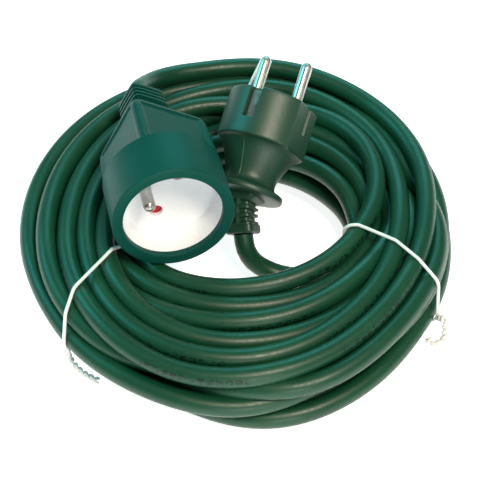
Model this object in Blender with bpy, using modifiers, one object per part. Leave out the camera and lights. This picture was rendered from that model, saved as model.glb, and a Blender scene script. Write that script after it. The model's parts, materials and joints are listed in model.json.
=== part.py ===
"""Garden extension cord: ten metres of round green cable wound into a flat coil, held by three
wire ties, with an earthed moulded plug at one end and an earthed trailing socket at the other.

Units are metres, +Z is up, and the coil rests on Z = 0 with the origin under the middle of the
whole object. The plug and the socket are each built in their own frame: +Z leaves the mating
face, +X runs along the line of the two live contacts, +Y points to the earth side.
"""
import math

import bmesh
import bpy
from mathutils import Matrix, Vector

# ---------------------------------------------------------------- driving dimensions
GAP = 0.0003                 # clearance between pieces that touch
CABLE_R = 0.0040             # 3 x 1.5 mm2 cable, 8 mm over its sheath
CORE_R = 0.0013              # one insulated core
CHANNEL_R = 0.0046           # cable channel through each strain relief

# standard 16 A pin geometry
PIN_R = 0.0024
PIN_LENGTH = 0.0190
PIN_OFFSET = 0.0095          # half of the 19 mm between the line pins
EARTH_OFFSET = 0.0100        # earth pin from the middle of the mating face

# coil
COIL_CENTRE = Vector((0.0, -0.003, 0.0))
COIL_INNER_R = 0.041
COIL_OUTER_R = 0.091
COIL_HEIGHT = 0.033
COIL_ROUNDING = 2.7          # exponent of the section's rounded outline

# free cable from each connector to the coil, after it leaves the connector straight
ROUTE_SPACING = 0.008
SOCKET_CABLE = [(-0.0389, 0.0610, 0.0413), (-0.0337, 0.0701, 0.0371), (-0.0252, 0.0770, 0.0349),
                (-0.0144, 0.0806, 0.0341)]
PLUG_CABLE = [(-0.0004, -0.0150, 0.0162), (0.0046, -0.0152, 0.0110), (0.0098, -0.0140, 0.0079),
              (0.0148, -0.0146, 0.0058), (0.0201, -0.0163, 0.0050), (0.0305, -0.0163, 0.0047),
              (0.0376, -0.0141, 0.0047)]

# wire ties: bearing in degrees, then the tail's reach outward, upward and along the coil
TIE_R = 0.0007
TAIL_TWISTS = 1.5
TAIL_STEPS = 12
TIES = {
    "tie_left": (219, (0.004, -0.005, 0.016)),
    "tie_right": (-24, (0.010, -0.005, -0.010)),
    "tie_back": (84, (0.005, 0.012, -0.004)),
}

# socket
SOCKET_ORIGIN = Vector((-0.0233, -0.0280, 0.0533))
SOCKET_AXIS = Vector((0.215, -0.972, 0.091))
SOCKET_ROLL = math.radians(60)
SOCKET_R = 0.0239
MOUTH_R = 0.0197             # opening in the rim
RECESS_R = 0.0200
RECESS_DEPTH = 0.0150
RIM_LIP = 0.0027             # the white insert starts this far behind the rim
BARREL_END = -0.0235         # the round part ends here
BLOCK_END = -0.0500          # the square part ends here
BLOCK_CORNER_FRONT = 0.0236  # corner radius of the square part at the barrel
BLOCK_CORNER_REAR = 0.0202
NECK_START = -0.0645
NECK_END = -0.0765
NECK_CORNER = 0.0098
PANEL_DEPTH = 0.0010         # the framed panel on each side of the square part
PANEL_BORDER = 0.0034
NECK_SLOT_PITCH = 0.0025
NECK_SLOT_WIDTH = 0.0010
NECK_SLOT_DEPTH = 0.0010

# inside the socket
INSERT_R = 0.0217
INSERT_BACK = -RECESS_DEPTH - 0.0017
LINE_HOLE_R = 0.0026         # hole in the insert for each line pin
CARRIER_FRONT = INSERT_BACK - GAP
CARRIER_DISC_BACK = CARRIER_FRONT - 0.0026
CARRIER_BACK = -0.0338
CARRIER_HALF = 0.0131        # half side of the carrier's square block
POCKET_DEPTH = 0.0019        # pocket that the shutter slides in
SHUTTER_TRAVEL = 0.0065
SHUTTER_HALF_X = 0.0130
SHUTTER_HALF_Y = 0.0036
SHUTTER_HALF_THICKNESS = 0.0007
SPRING_COIL_R = 0.0005
SPRING_WIRE_R = 0.00015
SPRING_TURNS = 7
SPRING_END = -0.0148         # the spring's fixed end, along Y
CONTACT_OUTER = 0.0029
CONTACT_INNER = 0.0023
CRIMP_OUTER = 0.0018
CRIMP_INNER = 0.0008
CORE_SPREAD = 0.0017         # where the cores sit in the cable, from its middle
CORE_COLOURS = {
    "left": ("core_brown", (0.16, 0.06, 0.02)),
    "right": ("core_blue", (0.02, 0.10, 0.45)),
    "earth": ("core_green_yellow", (0.45, 0.55, 0.05)),
}

# plug
PLUG_ORIGIN = Vector((0.0161, 0.0388, 0.0515))
PLUG_HEADING = math.radians(20)
PLUG_TILT = math.radians(30)
PLUG_ROLL = math.radians(-13.5)
PLUG_R = 0.0187
PLUG_FRONT_END = -0.0202     # rear edge of the round front
PLUG_FLAT_X = 0.0163         # the round front has a flat on each side
WAIST_R = 0.0107
FLANGE_R = 0.0156
FLANGE_FRONT = -0.0385
FLANGE_BACK = -0.0410
RELIEF_END = -0.0580
RELIEF_HALF = 0.0056
RELIEF_SLOT_PITCH = 0.0034
RELIEF_SLOT_WIDTH = 0.0014
CLIP_Y = 0.0158              # inner face of each earth clip
CLIP_THICKNESS = 0.0008
CLIP_WIDTH = 0.0040

# inside the plug
BRIDGE_R = 0.0143
BRIDGE_BACK = -0.0130
PIN_COLLAR_R = PIN_R + 0.0007
PIN_COLLAR_TOP = -0.0050
PIN_COLLAR_BOTTOM = -0.0080
STRAP_TOP = -0.0145
STRAP_BOTTOM = -0.0155
SLEEVE_OUTER = 0.0031        # spring sleeve for the socket's earth pin

TURN_STEPS = 48              # facets round the large turned pieces
PIN_STEPS = 20

PARTS = "extension_cord"
CUTTERS = "cutters"


# ---------------------------------------------------------------- scene helpers
def clear_scene():
    for obj in list(bpy.data.objects):
        bpy.data.objects.remove(obj, do_unlink=True)


def collection(name):
    found = bpy.data.collections.get(name)
    if found is None:
        found = bpy.data.collections.new(name)
        bpy.context.scene.collection.children.link(found)
    return found


def material(name, colour, roughness, metallic=0.0):
    found = bpy.data.materials.get(name)
    if found is not None:
        return found
    made = bpy.data.materials.new(name)
    made.use_nodes = True
    shader = made.node_tree.nodes["Principled BSDF"]
    shader.inputs["Base Color"].default_value = (*colour, 1.0)
    shader.inputs["Roughness"].default_value = roughness
    shader.inputs["Metallic"].default_value = metallic
    return made


def green_pvc():
    return material("green_pvc", (0.010, 0.085, 0.050), 0.38)


def green_cable():
    return material("green_cable", (0.012, 0.075, 0.040), 0.42)


def white_plastic():
    return material("white_plastic", (0.86, 0.86, 0.84), 0.30)


def grey_plastic():
    return material("grey_plastic", (0.30, 0.31, 0.32), 0.45)


def red_plastic():
    return material("red_plastic", (0.62, 0.03, 0.04), 0.35)


def nickel():
    return material("nickel", (0.80, 0.79, 0.76), 0.22, 1.0)


def brass():
    return material("brass", (0.78, 0.60, 0.30), 0.30, 1.0)


def steel():
    return material("spring_steel", (0.55, 0.56, 0.58), 0.30, 1.0)


def tie_plastic():
    return material("tie_plastic", (0.90, 0.90, 0.88), 0.35)


def empty(name, matrix, parent=None):
    made = bpy.data.objects.new(name, None)
    collection(PARTS).objects.link(made)
    made.parent = parent
    made.matrix_basis = matrix
    return made


def pose(origin, axis, roll):
    """A frame with +Z along the axis, and +Y turned by the roll from straight up."""
    z = axis.normalized()
    x = Vector((0.0, 0.0, 1.0)).cross(z).normalized()
    y = z.cross(x)
    turned = Matrix((x, y, z)).transposed().to_4x4()
    return Matrix.Translation(origin) @ turned @ Matrix.Rotation(roll, 4, "Z")


def place(name, data, parent, finish=None, location=(0.0, 0.0, 0.0)):
    """Link a new object; one with no finish is a cutter."""
    made = bpy.data.objects.new(name, data)
    made.parent = parent
    made.location = location
    if finish is None:
        collection(CUTTERS).objects.link(made)
        made.hide_render = True
        made.display_type = "WIRE"
    else:
        collection(PARTS).objects.link(made)
        data.materials.append(finish)
    return made


def mesh_from(name, bm, smooth=True):
    bmesh.ops.recalc_face_normals(bm, faces=bm.faces[:])
    data = bpy.data.meshes.new(name)
    bm.to_mesh(data)
    bm.free()
    if smooth:
        data.shade_smooth()
        data.set_sharp_from_angle(angle=math.radians(35))
    return data


def boolean(target, tool, operation):
    made = target.modifiers.new(tool.name, "BOOLEAN")
    made.operation = operation
    made.object = tool
    return made


def cut(target, *tools):
    for tool in tools:
        boolean(target, tool, "DIFFERENCE")


def join(target, *tools):
    for tool in tools:
        boolean(target, tool, "UNION")


# ---------------------------------------------------------------- shape helpers
def rod(name, parent, finish, radius, low, high, at=(0.0, 0.0), steps=PIN_STEPS):
    """A round bar along Z from low to high."""
    bm = bmesh.new()
    bmesh.ops.create_cone(bm, cap_ends=True, segments=steps, radius1=radius, radius2=radius,
                          depth=high - low)
    return place(name, mesh_from(name, bm), parent, finish, (at[0], at[1], (high + low) / 2))


def box(name, parent, finish, low, high):
    """A box between two corners."""
    low, high = Vector(low), Vector(high)
    bm = bmesh.new()
    bmesh.ops.create_cube(bm, size=1.0)
    bmesh.ops.scale(bm, vec=high - low, verts=bm.verts[:])
    return place(name, mesh_from(name, bm, smooth=False), parent, finish, (low + high) / 2)


def square_taper(name, parent, finish, corner_high, corner_low, high, low):
    """A square bar along Z whose corners stand at the given radii at its two ends."""
    bm = bmesh.new()
    bmesh.ops.create_cone(bm, cap_ends=True, segments=4, radius1=corner_low, radius2=corner_high,
                          depth=high - low)
    bmesh.ops.rotate(bm, matrix=Matrix.Rotation(math.pi / 4, 3, "Z"), verts=bm.verts[:])
    return place(name, mesh_from(name, bm, smooth=False), parent, finish,
                 (0.0, 0.0, (high + low) / 2))


def turned(name, parent, finish, profile, steps=TURN_STEPS, closed=False, at=(0.0, 0.0, 0.0)):
    """A profile of (radius, height) points turned about Z. An open profile starts and ends on
    the axis and runs from the top down its outer side."""
    bm = bmesh.new()
    points = [bm.verts.new((radius, 0.0, height)) for radius, height in profile]
    for first, second in zip(points, points[1:]):
        bm.edges.new((first, second))
    if closed:
        bm.edges.new((points[-1], points[0]))
    data = bpy.data.meshes.new(name)
    bm.to_mesh(data)
    bm.free()
    made = place(name, data, parent, finish, at)
    spin = made.modifiers.new("turn", "SCREW")
    spin.axis = "Z"
    spin.steps = steps
    spin.render_steps = steps
    spin.use_merge_vertices = True
    spin.merge_threshold = 0.00001
    spin.use_smooth_shade = True
    return made


def smooth_route(points, spacing):
    """Points about one spacing apart on a Catmull-Rom curve through the route's own points."""
    route = [Vector(p) for p in points]
    padded = [2 * route[0] - route[1]] + route + [2 * route[-1] - route[-2]]
    made = []
    for a, b, c, d in zip(padded, padded[1:], padded[2:], padded[3:]):
        steps = max(1, round((c - b).length / spacing))
        for step in range(steps):
            t = step / steps
            made.append(0.5 * (2 * b + (c - a) * t + (2 * a - 5 * b + 4 * c - d) * t * t
                               + (3 * b - a - 3 * c + d) * t ** 3))
    made.append(route[-1])
    return made


def tube(name, parent, finish, points, radius, resolution=2):
    """A round wire or cable through the points, with closed ends."""
    data = bpy.data.curves.new(name, "CURVE")
    data.dimensions = "3D"
    data.bevel_depth = radius
    data.bevel_resolution = resolution
    data.use_fill_caps = True
    spline = data.splines.new("POLY")
    spline.points.add(len(points) - 1)
    for knot, point in zip(spline.points, points):
        knot.co = (*point, 1.0)
    return place(name, data, parent, finish)


def domed_pin(name, parent, radius, base, tip, at, finish, collar=None):
    """A contact pin with a rounded tip; the collar is (radius, top, bottom)."""
    arc = [(0.0, tip)]
    for step in range(1, 5):
        angle = step / 4 * math.pi / 2
        arc.append((radius * math.sin(angle), tip - radius * (1 - math.cos(angle))))
    if collar is not None:
        wide, top, bottom = collar
        arc += [(radius, top), (wide, top), (wide, bottom), (radius, bottom)]
    arc += [(radius, base), (0.0, base)]
    return turned(name, parent, finish, arc, steps=PIN_STEPS, at=(at[0], at[1], 0.0))


def sleeve(name, parent, finish, inner, outer, low, high, at, steps=PIN_STEPS):
    """A short open tube along Z."""
    profile = [(inner, high), (outer, high), (outer, low), (inner, low)]
    return turned(name, parent, finish, profile, steps=steps, closed=True, at=(at[0], at[1], 0.0))


# ---------------------------------------------------------------- cable, coil and ties
def coil_section(steps=16):
    """The rounded outline of the coil's section, as (radius, height) points."""
    middle = (COIL_INNER_R + COIL_OUTER_R) / 2
    half_width = (COIL_OUTER_R - COIL_INNER_R) / 2
    half_height = COIL_HEIGHT / 2
    power = 2 / COIL_ROUNDING
    outline = []
    for step in range(steps):
        angle = (step + 0.5) / steps * math.tau
        across = math.cos(angle)
        up = math.sin(angle)
        outline.append((middle + half_width * math.copysign(abs(across) ** power, across),
                        COIL_HEIGHT / 2 + half_height * math.copysign(abs(up) ** power, up)))
    return outline


def flat_section(steps=16):
    """The section again, with its lowest points on the ground so that the coil rests flat."""
    outline = coil_section(steps)
    low = min(height for _, height in outline)
    high = max(height for _, height in outline)
    scale = COIL_HEIGHT / (high - low)
    return [(radius, (height - low) * scale) for radius, height in outline]


def build_coil(parent):
    """The wound turns as one ring, with a groove under it where each tie presses in."""
    ring = turned("cord_coil", parent, green_cable(), flat_section()[::-1], steps=56,
                  closed=True, at=COIL_CENTRE)
    for name, (bearing, _) in TIES.items():
        groove = box(f"{name}_groove", parent, None, (0.030, -0.0012, -0.001),
                     (0.100, 0.0012, 2 * TIE_R + 2 * GAP))
        middle = groove.location.copy()
        groove.matrix_basis = (Matrix.Translation(COIL_CENTRE)
                               @ Matrix.Rotation(math.radians(bearing), 4, "Z")
                               @ Matrix.Translation(middle))
        cut(ring, groove)
    return ring


def offset_outline(outline, distance):
    """A convex outline moved outward by the distance, corner by corner."""
    moved = []
    for before, here, after in zip(outline[-1:] + outline[:-1], outline, outline[1:] + outline[:1]):
        first = (Vector(here) - Vector(before)).normalized()
        second = (Vector(after) - Vector(here)).normalized()
        normal_a = Vector((first.y, -first.x))
        normal_b = Vector((second.y, -second.x))
        bisector = (normal_a + normal_b).normalized()
        moved.append(Vector(here) + bisector * distance / bisector.dot(normal_a))
    return moved


def tie_route(bearing, tail):
    """A wire tie round the coil's section at one bearing, with its two ends twisted together.
    The tail is (outward, upward, along) from the twist's root to its tip."""
    angle = math.radians(bearing)
    out = Vector((math.cos(angle), math.sin(angle), 0.0))
    along = Vector((-math.sin(angle), math.cos(angle), 0.0))
    up = Vector((0.0, 0.0, 1.0))
    spread = 1.4 * TIE_R
    outline = offset_outline(flat_section(), TIE_R + 2 * GAP)
    side = max(radius for radius, _ in outline)
    section = [Vector((side, COIL_HEIGHT / 2 + spread))] + outline
    section.append(Vector((side, COIL_HEIGHT / 2 - spread)))
    loop = [COIL_CENTRE + out * radius + up * max(height, TIE_R + GAP / 2)
            for radius, height in section]
    root = COIL_CENTRE + out * (side + 2.8 * TIE_R) + up * (COIL_HEIGHT / 2)
    tip = root + out * tail[0] + up * tail[1] + along * tail[2]
    axis = (tip - root).normalized()
    across = (up - axis * up.dot(axis)).normalized()
    other = axis.cross(across)
    strands = []
    for phase in (0.0, math.pi):
        strand = []
        for step in range(TAIL_STEPS + 1):
            t = step / TAIL_STEPS
            turn = phase + t * TAIL_TWISTS * math.tau
            strand.append(root + (tip - root) * t
                          + (across * math.cos(turn) + other * math.sin(turn)) * spread)
        strands.append(strand)
    return strands[0][::-1] + loop + strands[1]


def build_ties(parent):
    for name, (bearing, tail) in TIES.items():
        tube(name, parent, tie_plastic(), tie_route(bearing, tail), TIE_R)


def build_cord_ends(parent, socket_frame, plug_frame):
    """The two free stretches of cable between the coil and the two connectors."""
    exit_a = socket_frame @ Vector((0.0, 0.0, NECK_END - GAP))
    lead_a = socket_frame @ Vector((0.0, 0.0, NECK_END - 0.006))
    route_a = [exit_a, lead_a, *SOCKET_CABLE]
    tube("cord_socket_end", parent, green_cable(), smooth_route(route_a, ROUTE_SPACING), CABLE_R, 3)
    exit_b = plug_frame @ Vector((0.0, 0.0, RELIEF_END - GAP))
    lead_b = plug_frame @ Vector((0.0, 0.0, RELIEF_END - 0.004))
    route_b = [exit_b, lead_b, *PLUG_CABLE]
    tube("cord_plug_end", parent, green_cable(), smooth_route(route_b, ROUTE_SPACING), CABLE_R, 3)


# ---------------------------------------------------------------- trailing socket
def socket_outside(parent):
    """Round barrel, square panelled block, steep taper and ribbed neck, joined into one."""
    barrel = turned("socket_body", parent, green_pvc(), [
        (0.0, 0.0), (SOCKET_R - 0.0006, 0.0), (SOCKET_R, -0.0006), (SOCKET_R, BARREL_END),
        (0.0, BARREL_END)])
    block = square_taper("socket_block", parent, None, BLOCK_CORNER_FRONT, BLOCK_CORNER_REAR,
                         BARREL_END + 0.004, BLOCK_END)
    shoulder = square_taper("socket_shoulder", parent, None, BLOCK_CORNER_REAR - 0.0004,
                            NECK_CORNER + 0.0005, BLOCK_END + 0.001, NECK_START)
    neck = square_taper("socket_neck", parent, None, NECK_CORNER, NECK_CORNER - 0.0008,
                        NECK_START + 0.002, NECK_END)
    join(barrel, block, shoulder, neck)
    return barrel


def socket_panels(parent):
    """A shallow framed panel on each side of the square block."""
    half_rear = BLOCK_CORNER_REAR / math.sqrt(2)
    panels = []
    top = BARREL_END - 0.0003
    bottom = BLOCK_END + PANEL_BORDER
    half_front = BLOCK_CORNER_FRONT / math.sqrt(2)
    lean = math.atan2(half_front - half_rear, BARREL_END - BLOCK_END)
    for index in range(4):
        bm = bmesh.new()
        bmesh.ops.create_cube(bm, size=1.0)
        width = 2 * (half_rear - PANEL_BORDER)
        bmesh.ops.scale(bm, vec=(width, 0.008, top - bottom), verts=bm.verts[:])
        for vert in bm.verts:
            if vert.co.z > 0:
                vert.co.x *= half_front / half_rear
        tool = place(f"socket_panel_{index}", mesh_from("panel", bm, smooth=False), parent)
        middle = (top + bottom) / 2
        surface = half_rear + (middle - BLOCK_END) * math.tan(lean)
        offset = Vector((0.0, surface - PANEL_DEPTH + 0.004, middle))
        tool.matrix_basis = (Matrix.Rotation(index * math.pi / 2, 4, "Z")
                             @ Matrix.Translation(offset) @ Matrix.Rotation(-lean, 4, "X"))
        panels.append(tool)
    return panels


def neck_slots(parent):
    """Grooves round the neck that let it flex: a square frame cut at four heights."""
    slots = []
    reach = 0.012
    half = (NECK_CORNER - 0.0008) / math.sqrt(2) - NECK_SLOT_DEPTH
    for index in range(4):
        middle = NECK_START - 0.0017 - index * NECK_SLOT_PITCH
        frame = box(f"neck_slot_{index}", parent, None,
                    (-reach, -reach, middle - NECK_SLOT_WIDTH / 2),
                    (reach, reach, middle + NECK_SLOT_WIDTH / 2))
        core = box(f"neck_core_{index}", parent, None, (-half, -half, middle - 0.002),
                   (half, half, middle + 0.002))
        cut(frame, core)
        slots.append(frame)
    return slots


def build_socket(frame):
    body = socket_outside(frame)
    cut(body, *socket_panels(frame))
    cut(body, *neck_slots(frame))
    mouth = turned("socket_mouth", frame, None, [
        (0.0, 0.002), (MOUTH_R + 0.0004, 0.002), (MOUTH_R + 0.0004, 0.0), (MOUTH_R, -0.0006),
        (MOUTH_R, -RIM_LIP), (INSERT_R + GAP, -RIM_LIP),
        (INSERT_R + GAP, CARRIER_DISC_BACK - GAP), (0.0, CARRIER_DISC_BACK - GAP)])
    chamber = box("socket_chamber", frame, None,
                  (-CARRIER_HALF - GAP, -CARRIER_HALF - GAP, CARRIER_BACK - GAP),
                  (CARRIER_HALF + GAP, CARRIER_HALF + GAP, CARRIER_DISC_BACK))
    throat = turned("socket_throat", frame, None, [
        (0.0, CARRIER_BACK), (0.0122, CARRIER_BACK), (0.0122, -0.0405), (CHANNEL_R, -0.0530),
        (CHANNEL_R, NECK_END - 0.002), (0.0, NECK_END - 0.002)], steps=24)
    cut(body, mouth, chamber, throat)

    insert = turned("socket_insert", frame, white_plastic(), [
        (RECESS_R, -RIM_LIP - GAP), (INSERT_R, -RIM_LIP - GAP), (INSERT_R, INSERT_BACK),
        (0.0, INSERT_BACK), (0.0, -RECESS_DEPTH), (RECESS_R - 0.0005, -RECESS_DEPTH),
        (RECESS_R, -RECESS_DEPTH + 0.0005)], closed=True)
    holes = [rod("insert_hole_left", frame, None, LINE_HOLE_R, -0.020, -0.010,
                 (-PIN_OFFSET, 0.0)),
             rod("insert_hole_right", frame, None, LINE_HOLE_R, -0.020, -0.010,
                 (PIN_OFFSET, 0.0)),
             rod("insert_hole_earth", frame, None, PIN_R + GAP, -0.020, -0.010,
                 (0.0, EARTH_OFFSET))]
    cut(insert, *holes)

    build_carrier(frame)
    domed_pin("socket_earth_pin", frame, PIN_R, -0.0330, -0.0010, (0.0, EARTH_OFFSET), nickel())
    build_shutter(frame)
    build_socket_wiring(frame)
    return body


def build_carrier(frame):
    """The inner block that holds the contacts: a disc with the shutter's pocket, and a block."""
    disc = rod("socket_carrier", frame, grey_plastic(), INSERT_R, CARRIER_DISC_BACK,
               CARRIER_FRONT, steps=TURN_STEPS)
    block = box("carrier_block", frame, None, (-CARRIER_HALF, -CARRIER_HALF, CARRIER_BACK),
                (CARRIER_HALF, CARRIER_HALF, CARRIER_DISC_BACK + 0.001))
    join(disc, block)
    pocket = box("carrier_pocket", frame, None,
                 (-SHUTTER_HALF_X - GAP, -SHUTTER_HALF_Y - SHUTTER_TRAVEL - GAP,
                  CARRIER_FRONT - POCKET_DEPTH),
                 (SHUTTER_HALF_X + GAP, SHUTTER_HALF_Y + GAP, CARRIER_FRONT + 0.001))
    spring_bay = box("carrier_spring_bay", frame, None,
                     (-0.0009, -0.0150, CARRIER_FRONT - POCKET_DEPTH),
                     (0.0009, -SHUTTER_HALF_Y, CARRIER_FRONT + 0.001))
    bores = [rod("bore_left", frame, None, CONTACT_OUTER + GAP, -0.040, -0.018,
                 (-PIN_OFFSET, 0.0)),
             rod("bore_right", frame, None, CONTACT_OUTER + GAP, -0.040, -0.018,
                 (PIN_OFFSET, 0.0)),
             rod("bore_earth", frame, None, PIN_R + GAP, -0.040, -0.010, (0.0, EARTH_OFFSET))]
    cut(disc, pocket, spring_bay, *bores)
    return disc


def build_shutter(frame):
    """A sliding plate over both live holes, and the spring that closes it."""
    middle = CARRIER_FRONT - POCKET_DEPTH / 2
    slide = empty("shutter_slide", Matrix.Translation((0.0, 0.0, middle)), frame)
    box("socket_shutter", slide, red_plastic(),
        (-SHUTTER_HALF_X, -SHUTTER_HALF_Y, -SHUTTER_HALF_THICKNESS),
        (SHUTTER_HALF_X, SHUTTER_HALF_Y, SHUTTER_HALF_THICKNESS))
    start = -SHUTTER_HALF_Y - GAP - SPRING_WIRE_R
    steps = SPRING_TURNS * 8
    points = []
    for step in range(steps + 1):
        angle = step / 8 * math.tau
        points.append((SPRING_COIL_R * math.cos(angle), start + (SPRING_END - start) * step / steps,
                       middle + SPRING_COIL_R * math.sin(angle)))
    tube("shutter_spring", frame, steel(), points, SPRING_WIRE_R)


def build_socket_wiring(frame):
    """Two line contacts, three crimps and three cores."""
    places = {"left": (-PIN_OFFSET, 0.0), "right": (PIN_OFFSET, 0.0), "earth": (0.0, EARTH_OFFSET)}
    exits = {"left": (-CORE_SPREAD, -0.0010), "right": (CORE_SPREAD, -0.0010),
             "earth": (0.0, 0.0019)}
    top = CARRIER_BACK - GAP
    end = top - 0.0045
    for side, (x, y) in places.items():
        if side != "earth":
            sleeve(f"socket_contact_{side}", frame, brass(), CONTACT_INNER, CONTACT_OUTER,
                   CARRIER_BACK + GAP, CARRIER_FRONT - POCKET_DEPTH - 0.0008, (x, y))
        sleeve(f"socket_crimp_{side}", frame, brass(), CRIMP_INNER, CRIMP_OUTER, end, top,
               (x, y), steps=14)
        out_x, out_y = exits[side]
        route = [(x, y, end - 2 * GAP), (x, y, end - 0.0022),
                 (out_x + (x - out_x) * 0.45, out_y + (y - out_y) * 0.45, -0.0465),
                 (out_x, out_y, -0.0540), (out_x, out_y, -0.0620), (out_x, out_y, NECK_END)]
        tube(f"socket_core_{side}", frame, material(*CORE_COLOURS[side], 0.4),
             smooth_route(route, 0.0035), CORE_R)


# ---------------------------------------------------------------- plug
def build_plug(frame):
    body = turned("plug_body", frame, green_pvc(), [
        (0.0, 0.0), (PLUG_R - 0.0006, 0.0), (PLUG_R, -0.0006), (PLUG_R, PLUG_FRONT_END),
        (PLUG_R - 0.0007, PLUG_FRONT_END - 0.0008), (0.0163, PLUG_FRONT_END - 0.0022),
        (0.0143, PLUG_FRONT_END - 0.0045), (0.0127, PLUG_FRONT_END - 0.0073),
        (0.0114, PLUG_FRONT_END - 0.0103), (WAIST_R, -0.0335), (WAIST_R + 0.0004, -0.0357),
        (0.0128, -0.0376), (FLANGE_R - 0.0004, FLANGE_FRONT),
        (FLANGE_R, FLANGE_FRONT - 0.0006), (FLANGE_R, FLANGE_BACK), (0.0, FLANGE_BACK)])
    relief = square_taper("plug_relief", frame, None, RELIEF_HALF * 1.36, RELIEF_HALF * 1.26,
                          FLANGE_BACK + 0.002, RELIEF_END)
    edges = relief.modifiers.new("soft_edges", "BEVEL")
    edges.width = 0.0018
    edges.segments = 2
    join(body, relief)
    for index in range(3):
        middle = FLANGE_BACK - 0.0042 - index * RELIEF_SLOT_PITCH
        for side, low_x, high_x in (("left", 0.0010, 0.0100), ("right", -0.0100, -0.0010)):
            cut(body, box(f"relief_slot_{side}_{index}", frame, None,
                          (low_x, 0.0041 - index * 0.0001, middle - RELIEF_SLOT_WIDTH / 2),
                          (high_x, 0.0100, middle + RELIEF_SLOT_WIDTH / 2)))
    cavity = turned("plug_cavity", frame, None, [
        (0.0, 0.002), (BRIDGE_R + GAP, 0.002), (BRIDGE_R + GAP, BRIDGE_BACK - GAP),
        (0.0120, -0.0165), (0.0117, -0.0205), (0.0108, -0.0240), (CHANNEL_R, -0.0350),
        (CHANNEL_R, RELIEF_END - 0.002), (0.0, RELIEF_END - 0.002)], steps=32)
    cut(body, cavity)
    arm_outer = CLIP_Y + CLIP_THICKNESS
    for side, sign in (("top", 1), ("bottom", -1)):
        low_y, high_y = sorted((sign * (CLIP_Y - GAP), sign * 0.022))
        cut(body, box(f"clip_channel_{side}", frame, None,
                      (-CLIP_WIDTH / 2 - 0.0006, low_y, -0.0132),
                      (CLIP_WIDTH / 2 + 0.0006, high_y, 0.002)))
    cut(body, box("strap_passage", frame, None,
                  (-CLIP_WIDTH / 2 - GAP, -arm_outer - GAP, -0.0158),
                  (CLIP_WIDTH / 2 + GAP, arm_outer + GAP, BRIDGE_BACK)))
    for side, sign in (("left", 1), ("right", -1)):
        low_x, high_x = sorted((sign * PLUG_FLAT_X, sign * 0.022))
        cut(body, box(f"plug_flat_{side}", frame, None, (low_x, -0.020, PLUG_FRONT_END - 0.0030),
                      (high_x, 0.020, 0.002)))
        low_x, high_x = sorted((sign * 0.0154, sign * 0.018))
        cut(body, box(f"guide_groove_{side}", frame, None, (low_x, -0.0028, -0.0115),
                      (high_x, 0.0028, 0.002)))
    build_bridge(frame)
    build_earth_strap(frame)
    for side, x in (("left", PIN_OFFSET), ("right", -PIN_OFFSET)):
        domed_pin(f"plug_pin_{side}", frame, PIN_R, BRIDGE_BACK - 0.0008, PIN_LENGTH, (x, 0.0),
                  nickel(), collar=(PIN_COLLAR_R, PIN_COLLAR_TOP, PIN_COLLAR_BOTTOM))
    build_plug_wiring(frame)
    return body


def build_bridge(frame):
    """The rigid insert that carries both pins, the earth sleeve and the strap."""
    disc = rod("plug_bridge", frame, green_pvc(), BRIDGE_R, BRIDGE_BACK, 0.0, steps=TURN_STEPS)
    tools = []
    for side, x in (("left", PIN_OFFSET), ("right", -PIN_OFFSET)):
        tools.append(turned(f"bridge_bore_{side}", frame, None, [
            (0.0, 0.002), (PIN_R + GAP, 0.002), (PIN_R + GAP, PIN_COLLAR_TOP + GAP),
            (PIN_COLLAR_R + GAP, PIN_COLLAR_TOP + GAP),
            (PIN_COLLAR_R + GAP, PIN_COLLAR_BOTTOM - GAP), (PIN_R + GAP, PIN_COLLAR_BOTTOM - GAP),
            (PIN_R + GAP, -0.020), (0.0, -0.020)], steps=PIN_STEPS, at=(x, 0.0, 0.0)))
    tools.append(turned("bridge_bore_earth", frame, None, [
        (0.0, 0.002), (PIN_R + GAP, 0.002), (PIN_R + GAP, -0.0012), (SLEEVE_OUTER + GAP, -0.0012),
        (SLEEVE_OUTER + GAP, -0.020), (0.0, -0.020)], steps=PIN_STEPS,
        at=(0.0, EARTH_OFFSET, 0.0)))
    cut(disc, *tools)
    return disc


def build_earth_strap(frame):
    """One bent strip: a clip on each side of the plug and the bar behind the bridge, with a
    separate spring sleeve for the socket's earth pin."""
    outer = CLIP_Y + CLIP_THICKNESS
    half = CLIP_WIDTH / 2
    bar = box("plug_earth_strap", frame, nickel(), (-half, -outer, STRAP_BOTTOM),
              (half, outer, STRAP_TOP))
    for side, sign in (("top", 1), ("bottom", -1)):
        low_y, high_y = sorted((sign * CLIP_Y, sign * outer))
        join(bar, box(f"strap_arm_{side}", frame, None, (-half, low_y, -0.0150),
                      (half, high_y, -0.0012)))
    sleeve("plug_earth_sleeve", frame, brass(), PIN_R, SLEEVE_OUTER, BRIDGE_BACK - 0.0010, -0.0015,
           (0.0, EARTH_OFFSET))


def build_plug_wiring(frame):
    """Three crimps and three cores."""
    places = {"left": (PIN_OFFSET, 0.0), "right": (-PIN_OFFSET, 0.0), "earth": (0.0, 0.0078)}
    exits = {"left": (CORE_SPREAD, -0.0010), "right": (-CORE_SPREAD, -0.0010),
             "earth": (0.0, 0.0019)}
    for side, (x, y) in places.items():
        top = STRAP_BOTTOM - GAP if side == "earth" else BRIDGE_BACK - 0.0008 - GAP
        end = top - 0.0040
        sleeve(f"plug_crimp_{side}", frame, brass(), CRIMP_INNER, CRIMP_OUTER, end, top, (x, y),
               steps=14)
        out_x, out_y = exits[side]
        route = [(x, y, end - 2 * GAP), (x, y, end - 0.0022),
                 (out_x + (x - out_x) * 0.50, out_y + (y - out_y) * 0.50, -0.0270),
                 (out_x, out_y, -0.0360), (out_x, out_y, -0.0470), (out_x, out_y, RELIEF_END)]
        tube(f"plug_core_{side}", frame, material(*CORE_COLOURS[side], 0.4),
             smooth_route(route, 0.0035), CORE_R)


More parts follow.
